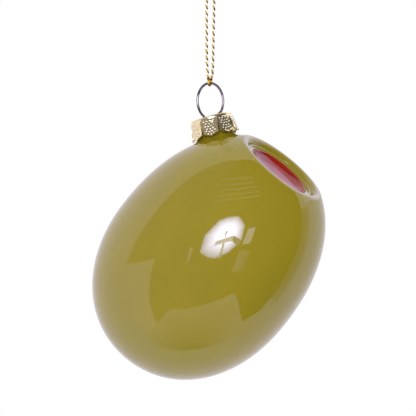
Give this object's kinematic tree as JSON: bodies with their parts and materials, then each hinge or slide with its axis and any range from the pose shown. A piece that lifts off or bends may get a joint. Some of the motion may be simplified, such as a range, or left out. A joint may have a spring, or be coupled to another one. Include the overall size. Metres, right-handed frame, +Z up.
{
  "type": "hanging ornament",
  "caption": "Hollow glass olive ornament with a red-lined dimple, a petalled metal cap, a spring wire hanger and a loop of twisted metallic cord.",
  "frame": {"origin": "top of the cord's loop, just under its knot, where a hook or a twig carries the ornament", "axes": "+Z is up, +X is towards the dimple, and the olive's long axis and its neck lie close to the XZ plane"},
  "size_m": [0.0799, 0.068, 0.1442],
  "materials": {
    "green_glass": "blown glass under olive green lacquer, high gloss",
    "red_inlay": "red lacquer, high gloss",
    "cap_metal": "bright stamped sheet with raised dots",
    "steel_wire": "bright drawn wire",
    "gold_cord": "two-ply metallic twist"
  },
  "bodies": {
    "cord": {"cord": "gold_cord", "cord_knot": "gold_cord"},
    "hanger": {"wire_hanger": "steel_wire"},
    "cap": {"cap": "cap_metal"},
    "glass": {"glass_body": "green_glass", "glass_neck": "green_glass", "pimento_inlay": "red_inlay"}
  },
  "joints": [
    {"name": "hanger_swing", "type": "hinge", "parent": "cord", "child": "hanger", "pos_m": [0, 0, -0.034], "axis": [0.9282, 0.3722, 0], "range_deg": [-60, 60]},
    {"name": "hanger_pull", "type": "slide", "parent": "hanger", "child": "cap", "axis": [0.2752, 0.016, -0.9612], "range_m": [0, 0.005]},
    {"name": "glass_turn", "type": "hinge", "parent": "cap", "child": "glass", "pos_m": [0.00263, -0.00065, -0.05219], "axis": [-0.2752, -0.016, 0.9612], "continuous": true}
  ]
}
